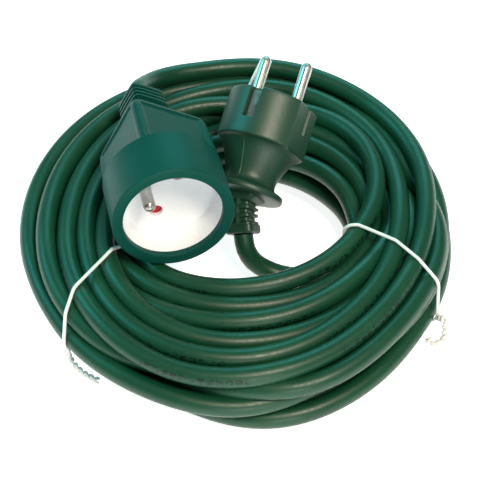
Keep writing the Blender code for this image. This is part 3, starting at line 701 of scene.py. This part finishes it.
# the hollow: the cable's bore, the room for the wiring, the carrier's pocket and the insert's
CABLE_BORE_MM = 4.12
SOCKET_WIRING_MM = [(4.12, -66.0), (4.6, -64.0), (4.6, -53.0), (12.2, -40.5), (12.2, -34.2)]
CARRIER_HALF_MM = 13.4
CARRIER_ENDS_MM = (-34.1, -20.2)
INSERT_R_MM = 22.0
INSERT_END_MM = -20.0


def socket_radius(theta, z):
    """The socket's outside: a round barrel that four flats cut into a square block and neck."""
    heights, halves = zip(*BLOCK_HALF_MM[::-1])
    half = float(np.interp(z, heights, halves))
    square = rounded_square(theta, half, BLOCK_CORNER if z > NECK_FROM_MM else NECK_CORNER)
    square = np.minimum(square, SOCKET_R_MM)
    round_part = float(ease(z, BARREL_END_MM - BARREL_STEP_MM, BARREL_END_MM))
    radius = square * (1 - round_part) + SOCKET_R_MM * round_part
    across = radius * np.minimum(np.abs(np.cos(theta)), np.abs(np.sin(theta)))
    inside = 1 - ease(across, half - PANEL_EDGE_MM - 0.5, half - PANEL_EDGE_MM)
    lengthwise = float(ease(z, *PANEL_BACK_MM) * (1 - ease(z, *PANEL_FRONT_MM)))
    radius = radius - PANEL_DEPTH_MM * inside * lengthwise
    groove = bars(np.array([z]), GROOVE_PLACES_MM, 0.6, 0.4)[0]
    swell = RIB_SWELL_MM if z < RIBS_FROM_MM else 0.0
    return radius + swell - GROOVE_DEPTH_MM * groove


def build_socket_body():
    """The trailing socket's moulded body, hollow for the insert, the carrier and the cable."""
    theta = np.linspace(0.0, 2 * math.pi, SOCKET_ANGLES, endpoint=False)
    outline = rounded_edge(MOUTH_R_MM, MOUTH_SOFT_MM, np.linspace(math.pi / 2, 0.0, 5), -1)
    outline.append(((MOUTH_R_MM + SOCKET_R_MM) / 2, 0.0))
    outline += rounded_edge(SOCKET_R_MM, RIM_SOFT_MM, np.linspace(0.0, math.pi / 2, 6))
    heights = SOCKET_RINGS_MM + [z for run in SOCKET_RING_RUNS_MM for z in np.arange(*run)]
    outline += [(socket_radius(theta, z), z) for z in heights]
    end = socket_radius(theta, SOCKET_NECK_END_MM + 0.2)
    outline += [(end - 0.15, SOCKET_NECK_END_MM + 0.15), (end - 0.5, SOCKET_NECK_END_MM),
                (5.0, SOCKET_NECK_END_MM), (CABLE_BORE_MM, SOCKET_NECK_END_MM + 0.4)]
    pocket = rounded_square(theta, CARRIER_HALF_MM, BLOCK_CORNER)
    outline += SOCKET_WIRING_MM + [(pocket, z) for z in CARRIER_ENDS_MM]
    outline += [(INSERT_R_MM, INSERT_END_MM), (INSERT_R_MM, -RIM_LIP_MM),
                (MOUTH_R_MM, -RIM_LIP_MM + 0.05)]
    piece = moulded_piece("socket_shell", rings_at(theta, outline), SOCKET)
    stand_in(piece, "socket_pvc", "moulded_pvc", "socket_body")


# plug: the drum and its front edge, the tapered body and flange behind it (radius, height), the
# clip channels on +Y and -Y, the guide grooves on +X and -X, and the slotted strain relief
PLUG_R_MM = 18.7
PLUG_SOFT_MM = 0.8
PLUG_FLAT_MM = 16.3
PLUG_FRONT_MM = [(18.7, -19.6), (18.66, -19.9), (18.5, -20.2), (18.2, -20.45), (17.7, -20.6)]
PLUG_PROFILE_MM = [(17.0, -20.9), (16.0, -21.8), (15.0, -23.2), (14.1, -24.8), (13.3, -26.5),
                   (12.6, -28.2), (12.0, -29.8), (11.5, -31.2), (11.1, -32.5), (10.85, -33.8),
                   (10.8, -35.0), (11.0, -36.0), (11.6, -36.9), (12.5, -37.6), (13.6, -38.1),
                   (14.6, -38.4), (15.2, -38.7), (15.5, -39.2), (15.5, -40.5), (15.3, -40.9),
                   (14.9, -41.15), (12.5, -41.3), (9.5, -41.35)]
CHANNEL_HALF_MM = 2.6
CHANNEL_FLOOR_MM = 15.5
CHANNEL_END_MM = -13.2
GUIDE_HALF_MM = 2.8
GUIDE_FLOOR_MM = 15.4
GUIDE_END_MM = -11.5
DRUM_RINGS_MM = (-2.0, -5.0, -8.0, -11.0, GUIDE_END_MM + 0.02, GUIDE_END_MM - 0.02,
                 CHANNEL_END_MM + 0.02, CHANNEL_END_MM - 0.02, -15.5, -18.0)
PARTING_HEIGHT_MM = 0.22             # a fine ridge down the +Y side, between these heights
PARTING_WIDTH = 0.012
PARTING_SPAN_MM = (-38.0, -21.0)
RELIEF_START_MM = -41.4
RELIEF_STEP_MM = 0.3
RELIEF_HALF_MM = 7.4
RELIEF_CORNER = 6.0
RELIEF_SLOTS_MM = [3.6, 7.0, 10.4]
RELIEF_SLOT_DEPTH_MM = 1.5
RELIEF_SLOT_HALF_MM = 0.85
RELIEF_BORE_EVERY = 12               # one ring of the bore to so many of the outside
PLUG_HOLLOW_MM = [(4.4, -36.0), (10.4, -24.0), (11.7, -20.5), (12.0, -16.5), (14.6, -13.3)]
PLUG_MOUTH_MM = [(14.6, -0.35), (14.75, 0.0)]


def plug_angles():
    """Even steps round the plug, with extra ones at the walls of its four grooves."""
    angles = list(np.radians(np.arange(0.0, 360.0, 2.25)))
    for middle_angle, half in ((0, GUIDE_HALF_MM), (90, CHANNEL_HALF_MM), (180, GUIDE_HALF_MM),
                               (270, CHANNEL_HALF_MM)):
        walls = [math.asin(half / PLUG_R_MM)]
        if half == GUIDE_HALF_MM:
            walls = [math.atan2(half, PLUG_FLAT_MM), math.acos(PLUG_FLAT_MM / PLUG_R_MM)]
        for wall in walls:
            for side in (-1, 1):
                for slip in (-0.006, 0.006):
                    angles.append((math.radians(middle_angle) + side * (wall + slip)) % math.tau)
    for slip in (-0.02, -0.008, 0.008, 0.02):
        angles.append(math.pi / 2 + slip)
    return np.array(sorted(angles))


def front_radius(theta, z, radius):
    """The drum's outline with its two clip channels and two guide grooves."""
    x = radius * np.cos(theta)
    y = radius * np.sin(theta)
    flat = (PLUG_FLAT_MM - (PLUG_R_MM - radius) * 0.6) / np.maximum(np.abs(np.cos(theta)), 0.2)
    found = np.minimum(float(radius), flat)
    if z > CHANNEL_END_MM:
        in_channel = np.abs(x) < CHANNEL_HALF_MM
        floor_radius = CHANNEL_FLOOR_MM / np.maximum(np.abs(np.sin(theta)), 0.2)
        found = np.where(in_channel, np.minimum(floor_radius, found), found)
    if z > GUIDE_END_MM:
        in_guide = np.abs(y) < GUIDE_HALF_MM
        floor_radius = GUIDE_FLOOR_MM / np.maximum(np.abs(np.cos(theta)), 0.2)
        found = np.where(in_guide, np.minimum(floor_radius, found), found)
    return found


def relief_centreline():
    """The strain relief's middle line, from the flange to its bent tip, in the plug's frame."""
    tip = np.array(PLUG.inverted() @ Vector(RELIEF_TIP_MM * MM)) / MM
    aim = np.array(PLUG.to_3x3().inverted() @ Vector(RELIEF_TIP_AIM))
    aim /= np.linalg.norm(aim)
    start = np.array([0.0, 0.0, RELIEF_START_MM])
    reach = float(np.linalg.norm(tip - start))
    near = start + np.array([0.0, 0.0, -0.45 * reach])
    far = tip - aim * 0.4 * reach
    t = np.linspace(0.0, 1.0, 240)[:, None]
    line = ((1 - t) ** 3 * start + 3 * t * (1 - t) ** 2 * near + 3 * t ** 2 * (1 - t) * far
            + t ** 3 * tip)
    along = distance_along(line)
    wanted = np.linspace(0.0, along[-1], int(along[-1] / RELIEF_STEP_MM) + 1)
    return read_along(line, along, wanted), wanted


def relief_radius(theta, along, total):
    """A tapered, rounded square with three pairs of slots and a slightly wider end collar."""
    half = RELIEF_HALF_MM - 1.5 * float(ease(along, 0.0, 3.0)) - 0.5 * along / total
    half += 0.55 * float(ease(along, total - 3.4, total - 3.0))
    half -= 0.5 * float(ease(along, total - 0.6, total))
    outline = rounded_square(theta, half, RELIEF_CORNER)
    slot = bars(np.array([along]), RELIEF_SLOTS_MM, RELIEF_SLOT_HALF_MM, 0.5)[0]
    clear_of_spine = ease(np.abs(np.sin(theta - math.pi / 2)), 0.10, 0.22)
    return outline - RELIEF_SLOT_DEPTH_MM * slot * clear_of_spine


def plug_outside(theta):
    """The face, the drum, the tapered body and the flange."""
    drum = rounded_edge(PLUG_R_MM, PLUG_SOFT_MM, np.linspace(0.0, math.pi / 2, 6))
    drum += [(PLUG_R_MM, z) for z in DRUM_RINGS_MM] + PLUG_FRONT_MM
    outline = PLUG_MOUTH_MM + [(front_radius(theta, z, radius), z) for radius, z in drum]
    ridge = PARTING_HEIGHT_MM * np.exp(-((theta - math.pi / 2) / PARTING_WIDTH) ** 2)
    for radius, z in PLUG_PROFILE_MM:
        on_ridge = PARTING_SPAN_MM[0] < z < PARTING_SPAN_MM[1]
        outline.append((radius + ridge * on_ridge, z))
    return rings_at(theta, outline)


def relief_rings(theta, line, along):
    """The strain relief's outside and the bore back through it, turned to match the flange."""
    _, side, other = carried_frames(line)
    turned = theta - math.atan2(other[0][0], side[0][0])
    outside = []
    for k, centre in enumerate(line):
        radius = relief_radius(theta, along[k], along[-1])[:, None]
        outside.append(centre + radius * (np.cos(turned)[:, None] * side[k]
                                          - np.sin(turned)[:, None] * other[k]))

    def ring_inside(k, radius):
        spoke = outside[k] - line[k]
        return line[k] + spoke / np.linalg.norm(spoke, axis=1)[:, None] * radius

    last = len(line) - 1
    end = [line[last] + (outside[last] - line[last]) * 0.90, ring_inside(last, 4.9)]
    bore = [ring_inside(k, CABLE_BORE_MM) for k in range(last, -1, -RELIEF_BORE_EVERY)]
    return outside + end + bore


def build_plug_body():
    """The plug's moulded body, with its bent strain relief, hollow for the bridge and cable."""
    theta = plug_angles()
    rings = (plug_outside(theta) + relief_rings(theta, *relief_centreline())
             + rings_at(theta, PLUG_HOLLOW_MM))
    piece = moulded_piece("plug_shell", rings, PLUG)
    stand_in(piece, "plug_pvc", "moulded_pvc", "plug_body")


# -------- the cord
CORD_SIDES = 20
CORD_DRAW_MM = 3.2


def build_cord():
    """One unbroken cable from the socket's neck, through every turn, to the plug's relief."""
    route, firmness = wound_route()
    line = catmull_rom(settle(route, firmness), CORD_DRAW_MM) * MM
    piece = link("cord", tube_mesh("cord", line, CABLE_MM / 2 * MM, CORD_SIDES))
    stand_in(piece, "cable_pvc", "cable_pvc", "cord_coil", "cord_socket_end", "cord_plug_end")
    return line


# -------- wire ties
TIE_MM = 1.4
TIE_CLEAR_MM = 0.08
TIE_SIDES = 10
# each tie's line over the coil from the hole outward, in plan, and then its tail's own points
TIES = {
    "left": ([(-30.0, -6.0), (-38.0, -16.5), (-46.0, -26.6), (-53.5, -37.5), (-58.5, -43.0),
              (-62.5, -48.0), (-65.0, -54.0), (-66.3, -61.0), (-66.5, -69.0)],
             [(-65.5, -61.0, 8.0), (-63.0, -64.5, 6.5), (-59.0, -67.5, 5.0), (-53.5, -70.0, 4.0)]),
    "right": ([(26.0, -13.0), (33.0, -13.6), (39.5, -14.6), (45.0, -15.8), (50.0, -16.8),
               (55.0, -18.5), (61.5, -24.0), (68.5, -30.5), (76.0, -37.5), (83.0, -44.0),
               (90.0, -50.5)],
              [(81.5, -45.5, 12.0), (82.5, -47.0, 8.5), (82.3, -49.5, 5.5), (79.5, -51.3, 3.8),
               (76.8, -51.0, 3.4), (76.0, -49.0, 4.2)]),
    "back": ([(9.0, 34.0), (6.0, 43.0), (4.2, 52.0), (3.6, 60.5), (5.2, 69.0), (9.8, 79.0),
              (16.0, 89.0), (22.0, 99.0)],
             [(19.5, 93.5, 14.0), (22.0, 96.5, 12.0), (24.0, 97.0, 8.0), (23.0, 98.0, 5.0)]),
}
# a low turn nearer the coil's middle than this passes inside the hole, clear of the tie
TIE_INNER_MM = {"left": 0.0, "right": 46.0, "back": 0.0}
LOW_TURN_MM = 9.0
TIE_LIFT_MM = 1.5
TIE_LIFT_REACH_MM = 14.0
PLAN_STEP_MM = 0.8
CROSSING_REACH_MM = 4.0              # a stretch of cable farther from the plan doesn't cross it
LEAST_SLANT = 0.45                   # so that a turn along the tie doesn't look endlessly wide
OUTLINE_SAMPLES = 28                 # points round each crossing
TAIL_STEP_MM = 0.5
TAIL_PITCH_MM = 5.2
TAIL_SPREAD_MM = TIE_MM * 0.62


def tie_plan(name):
    """A tie's line over the coil, in plan."""
    return catmull_rom(TIES[name][0], PLAN_STEP_MM)


def lift_under_ties(points):
    """How far the lowest turns stand off the ground where a tie passes under them."""
    lift = np.zeros(len(points))
    for name in TIES:
        plan = tie_plan(name)[::3]
        away = np.linalg.norm(points[:, None, :2] - plan[None, :, :], axis=2).min(1)
        lift = np.maximum(lift, TIE_LIFT_MM * (1 - ease(away, 1.5, TIE_LIFT_REACH_MM)))
    return lift


def crossings(plan, line, inner):
    """Where turns cross the tie's plane: (distance along the plan, height, half width, half height)."""
    reach = CABLE_MM / 2 + TIE_MM / 2 + TIE_CLEAR_MM
    found = []
    step = np.linalg.norm(plan[1] - plan[0])
    for a, b in zip(line[:-1], line[1:]):
        away = np.linalg.norm(plan - (a[:2] + b[:2]) / 2, axis=1)
        near = int(np.argmin(away))
        if away[near] > CROSSING_REACH_MM or near in (0, len(plan) - 1):
            continue
        run = plan[near + 1] - plan[near - 1]
        across = np.array([-run[1], run[0]])
        first = float((a[:2] - plan[near]) @ across)
        second = float((b[:2] - plan[near]) @ across)
        if first * second > 0:
            continue
        point = a + (b - a) * (first / (first - second))
        if polar(point)[1] < inner and point[2] < LOW_TURN_MM:
            continue
        heading = (b - a) / np.linalg.norm(b - a)
        slant = max(abs(float(heading[:2] @ across)) / np.linalg.norm(across), LEAST_SLANT)
        along = near * step + float((point[:2] - plan[near]) @ run) / np.linalg.norm(run)
        found.append((along, float(point[2]), reach / slant, reach))
    return found


def taut_outline(ellipses):
    """The convex outline round the crossings, from its lowest inner point, anticlockwise."""
    samples = []
    for along, height, wide, tall in ellipses:
        for k in range(OUTLINE_SAMPLES):
            angle = k / OUTLINE_SAMPLES * math.tau
            samples.append((along + wide * math.cos(angle), height + tall * math.sin(angle)))
    samples.sort()

    def chain(points):
        kept = []
        for p in points:
            while len(kept) > 1:
                (ax, ay), (bx, by) = kept[-2], kept[-1]
                if (bx - ax) * (p[1] - ay) - (by - ay) * (p[0] - ax) > 0:
                    break
                kept.pop()
            kept.append(p)
        return kept

    lower = chain(samples)
    upper = chain(samples[::-1])
    return lower[:-1] + upper[:-1]


def build_tie(name, line):
    """One plastic-covered wire pulled tight round the turns, its two ends twisted together."""
    plan = tie_plan(name)
    step = np.linalg.norm(plan[1] - plan[0])
    tail_points = [np.array(p) for p in TIES[name][1]]

    def placed(along, height):
        place = along / step
        k = int(np.clip(place, 0, len(plan) - 2))
        spot = plan[k] + (plan[k + 1] - plan[k]) * (place - k)
        return np.array([spot[0], spot[1], height])

    loop = [placed(*p) for p in taut_outline(crossings(plan, line, TIE_INNER_MM[name]))]
    start = int(np.argmin([np.linalg.norm(p - tail_points[0]) for p in loop]))
    loop = loop[start:] + loop[:start + 1]
    tail = catmull_rom([loop[0]] + tail_points, TAIL_STEP_MM)
    _, side, other = carried_frames(tail)
    turns = len(tail) * TAIL_STEP_MM / TAIL_PITCH_MM
    grow = ease(np.arange(len(tail)), 0, 5)[:, None] * TAIL_SPREAD_MM
    strands = []
    for phase in (0.0, math.pi):
        angle = (np.linspace(0.0, turns, len(tail)) * math.tau + phase)[:, None]
        strands.append(tail + (np.cos(angle) * side + np.sin(angle) * other) * grow)
    route = np.vstack([strands[0][:1:-1], np.array(loop)[1:-1], strands[1][2:]])
    smooth_line = catmull_rom(route, 0.9)
    smooth_line[:, 2] = np.maximum(smooth_line[:, 2], TIE_MM / 2 + 0.02)
    piece = link(f"tie_wire_{name}", tube_mesh(f"tie_wire_{name}", smooth_line * MM,
                                               TIE_MM / 2 * MM, TIE_SIDES))
    stand_in(piece, "tie_plastic", "tie_plastic", f"tie_{name}")


# -------- cores inside the bent relief
CORE_R_MM = 1.3
# each core's finish, its crimp's end, and its place in the cable
PLUG_CORES_MM = {"left": ("core_brown", (9.5, 0.0, -18.1), (1.7, -1.0)),
                 "right": ("core_blue", (-9.5, 0.0, -18.1), (-1.7, -1.0)),
                 "earth": ("core_green_yellow", (0.0, 7.8, -19.8), (0.0, 1.9))}


def build_plug_cores():
    """Three insulated cores from the plug's crimps through its bent strain relief."""
    line, _ = relief_centreline()
    for name, (finish, (x, y, end), (out_x, out_y)) in PLUG_CORES_MM.items():
        offset = np.array([out_x, out_y, 0.0])
        route = [(x, y, end - 0.6), (x, y, end - 2.2), ((x + out_x) / 2, (y + out_y) / 2, -27.0),
                 (out_x, out_y, -36.0)]
        route += [line[k] + offset for k in range(2, len(line) - 4, 12)]
        world = np.array([PLUG @ Vector(p) for p in catmull_rom(route, 0.8) * MM])
        piece = link(f"core_{name}", tube_mesh(f"core_{name}", world, CORE_R_MM * MM, 12))
        stand_in(piece, finish, finish, f"plug_core_{name}")


# -------- shutter spring
SPRING_COIL_MM = 0.5
SPRING_WIRE_MM = 0.15
SPRING_TURNS = 7
SPRING_STEPS = 24                    # points in one turn
SPRING_LENGTH_MM = 10.75


def build_spring():
    """The shutter's spring as a fixed coil of wire; the real one shortens towards its fixed end as the shutter
    opens.
    """
    x, y, z = (SOCKET.to_3x3().col[k] for k in range(3))
    centre = middle("shutter_spring")
    points = []
    for t in np.linspace(0.0, 1.0, SPRING_TURNS * SPRING_STEPS + 1):
        angle = t * SPRING_TURNS * math.tau
        points.append(centre + (x * math.cos(angle) + z * math.sin(angle)) * SPRING_COIL_MM * MM
                      + y * (0.5 - t) * SPRING_LENGTH_MM * MM)
    piece = link("spring_wire", tube_mesh("spring_wire", points, SPRING_WIRE_MM * MM, 10))
    stand_in(piece, "spring_steel", "spring_steel", "shutter_spring")
    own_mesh(piece)


# -------- studio and camera
LIGHTS_AIM = (0.0, 0.0, 0.03)
# each light's place, width, watts and colour
LIGHTS = {
    "cool_left": ((-0.95, 0.35, 0.85), 0.8, 7.6, (0.10, 0.95, 1.0)),
    "warm_front": ((0.35, -0.55, 1.15), 0.4, 14.5, (1.0, 0.88, 0.70)),
    "cool_back": ((0.1, 1.1, 0.75), 0.8, 6.0, (0.20, 0.97, 1.0)),
    "low_front": ((0.30, -1.3, 0.40), 0.5, 5.0, (1.0, 0.97, 0.95)),
}
FLOOR_HALF = 6.0
FLOOR_BELOW = 0.0002
CAMERA_TARGET = Vector((-0.0006, -0.0012, 0.0185))
CAMERA_ELEVATION = 48.0              # degrees
CAMERA_DISTANCE = 0.602
CAMERA_SIDE = 0.00124
CAMERA_DROP = 0.00535
CAMERA_LENS = 110.3


def area_light(name, place, width, watts, colour):
    """A round soft light that faces the object."""
    data = bpy.data.lights.new(name, "AREA")
    data.shape = "DISK"
    data.size = width
    data.energy = watts
    data.color = colour
    light = link(name, data)
    light.location = place
    light.rotation_mode = "QUATERNION"
    light.rotation_quaternion = (Vector(LIGHTS_AIM) - Vector(place)).to_track_quat("-Z", "Y")


def build_floor():
    """A pale floor, bright enough to look white under the object."""
    bm = bmesh.new()
    bmesh.ops.create_grid(bm, x_segments=1, y_segments=1, size=FLOOR_HALF)
    mesh = bpy.data.meshes.new("floor")
    bm.to_mesh(mesh)
    bm.free()
    floor = link("floor", mesh)
    floor.location.z = -FLOOR_BELOW
    n = Nodes("pale_floor")
    n.set(Base_Color=(0.92, 0.92, 0.92), Roughness=0.9, Emission_Color=(1.0, 1.0, 1.0),
          Emission_Strength=0.85)
    floor.data.materials.append(n.material)


def build_studio():
    """The floor, a faint sky and the four lights."""
    build_floor()
    world = bpy.data.worlds.new("studio")
    world.use_nodes = True
    background = world.node_tree.nodes["Background"]
    background.inputs["Color"].default_value = (0.80, 0.96, 1.0, 1.0)
    background.inputs["Strength"].default_value = 0.18
    bpy.context.scene.world = world
    for name, values in LIGHTS.items():
        area_light(name, *values)
    bpy.context.scene.view_settings.view_transform = "Standard"


def build_camera():
    """One camera from the front and above; a long lens, shifted a little to centre the picture."""
    tilt = math.radians(CAMERA_ELEVATION)
    back = Vector((0.0, -math.cos(tilt), math.sin(tilt)))
    up = Vector((0.0, math.sin(tilt), math.cos(tilt)))
    side = Vector((1.0, 0.0, 0.0))
    data = bpy.data.cameras.new("camera")
    data.lens = CAMERA_LENS
    camera = link("camera", data)
    camera.location = CAMERA_TARGET + back * CAMERA_DISTANCE + side * CAMERA_SIDE - up * CAMERA_DROP
    camera.rotation_mode = "QUATERNION"
    camera.rotation_quaternion = (-back).to_track_quat("-Z", "Y")
    bpy.context.scene.camera = camera


# -------- the whole scene
build_studio()
build_camera()
finish_cad_nodes()
cord_line = build_cord()
build_socket_body()
build_plug_body()
build_plug_cores()
build_spring()
for tie_name in TIES:
    build_tie(tie_name, cord_line / MM)
